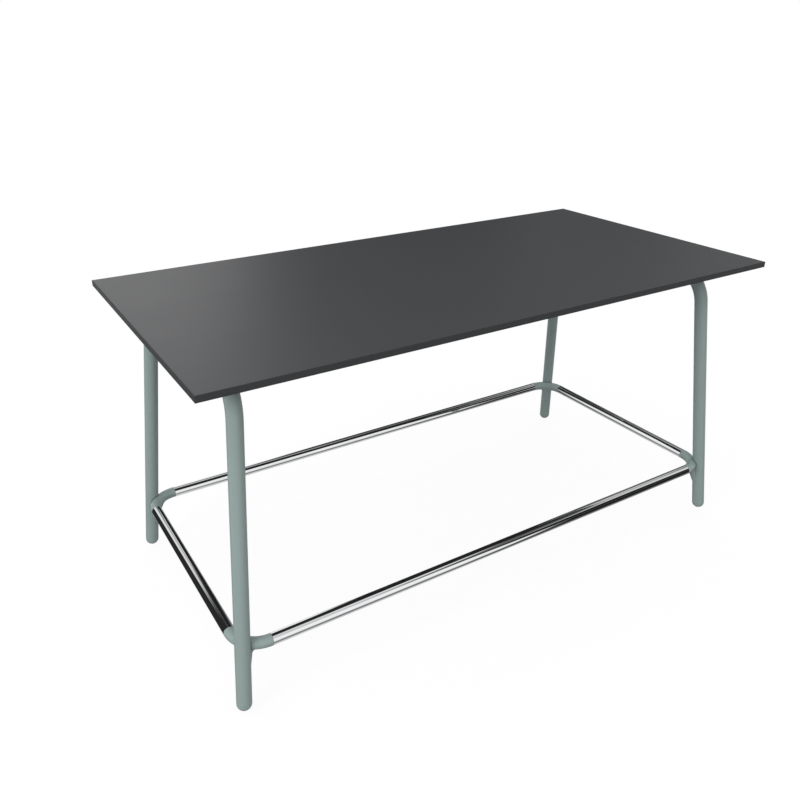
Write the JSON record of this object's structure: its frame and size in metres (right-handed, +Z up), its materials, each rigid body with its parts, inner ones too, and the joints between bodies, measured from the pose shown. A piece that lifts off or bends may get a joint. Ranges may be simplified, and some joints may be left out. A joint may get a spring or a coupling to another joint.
{
  "type": "standing meeting table",
  "caption": "Standing meeting table with a thin rectangular top on splayed bent-tube leg frames, domed levelling feet and a chrome foot ring that joins the legs low down.",
  "frame": {"origin": "on the floor under the middle of the top", "axes": "+X along the table's length, +Y across it towards the back, +Z up"},
  "size_m": [1.8, 0.9, 0.904],
  "materials": {
    "dark_laminate": "fine matt charcoal laminate",
    "dark_edge": "satin charcoal edge band",
    "board_core": "raw fibreboard",
    "sage_paint": "satin sage powder coat",
    "sage_plastic": "satin sage moulding",
    "chrome": "polished chrome plate",
    "zinc_steel": "bright zinc plate",
    "black_paint": "black powder coat",
    "black_plastic": "black moulded plastic"
  },
  "bodies": {
    "table": {"tabletop_core": "board_core", "top_laminate": "dark_laminate", "underside_laminate": "dark_laminate", "edge_band_front": "dark_edge", "edge_band_back": "dark_edge", "edge_band_left": "dark_edge", "edge_band_right": "dark_edge", "leg_frame_left": "sage_paint", "leg_frame_right": "sage_paint", "saddle_plate_front_left": "sage_paint", "saddle_plate_front_right": "sage_paint", "saddle_plate_back_left": "sage_paint", "saddle_plate_back_right": "sage_paint", "plate_screw_front_left_outer": "zinc_steel", "plate_screw_front_left_inner": "zinc_steel", "plate_screw_front_right_outer": "zinc_steel", "plate_screw_front_right_inner": "zinc_steel", "plate_screw_back_left_outer": "zinc_steel", "plate_screw_back_left_inner": "zinc_steel", "plate_screw_back_right_outer": "zinc_steel", "plate_screw_back_right_inner": "zinc_steel", "stiffener_front": "black_paint", "stiffener_back": "black_paint", "stiffener_screw_front_left": "zinc_steel", "stiffener_screw_front_middle": "zinc_steel", "stiffener_screw_front_right": "zinc_steel", "stiffener_screw_back_left": "zinc_steel", "stiffener_screw_back_middle": "zinc_steel", "stiffener_screw_back_right": "zinc_steel", "leg_plug_front_left": "black_plastic", "leg_plug_front_right": "black_plastic", "leg_plug_back_left": "black_plastic", "leg_plug_back_right": "black_plastic", "ring_corner_front_left": "sage_paint", "ring_corner_front_right": "sage_paint", "ring_corner_back_left": "sage_paint", "ring_corner_back_right": "sage_paint", "ring_bracket_front_left": "sage_paint", "ring_bracket_front_right": "sage_paint", "ring_bracket_back_left": "sage_paint", "ring_bracket_back_right": "sage_paint", "ring_rail_front": "chrome", "ring_rail_back": "chrome", "ring_rail_left": "chrome", "ring_rail_right": "chrome"},
    "foot_front_left": {"foot_dome_front_left": "sage_plastic", "levelling_stud_front_left": "zinc_steel"},
    "foot_front_right": {"foot_dome_front_right": "sage_plastic", "levelling_stud_front_right": "zinc_steel"},
    "foot_back_left": {"foot_dome_back_left": "sage_plastic", "levelling_stud_back_left": "zinc_steel"},
    "foot_back_right": {"foot_dome_back_right": "sage_plastic", "levelling_stud_back_right": "zinc_steel"}
  },
  "joints": [
    {"name": "level_front_left", "type": "slide", "parent": "table", "child": "foot_front_left", "axis": [-0.104, -0.104, -0.9891], "range_m": [0, 0.012]},
    {"name": "level_front_right", "type": "slide", "parent": "table", "child": "foot_front_right", "axis": [0.104, -0.104, -0.9891], "range_m": [0, 0.012]},
    {"name": "level_back_left", "type": "slide", "parent": "table", "child": "foot_back_left", "axis": [-0.104, 0.104, -0.9891], "range_m": [0, 0.012]},
    {"name": "level_back_right", "type": "slide", "parent": "table", "child": "foot_back_right", "axis": [0.104, 0.104, -0.9891], "range_m": [0, 0.012]}
  ]
}
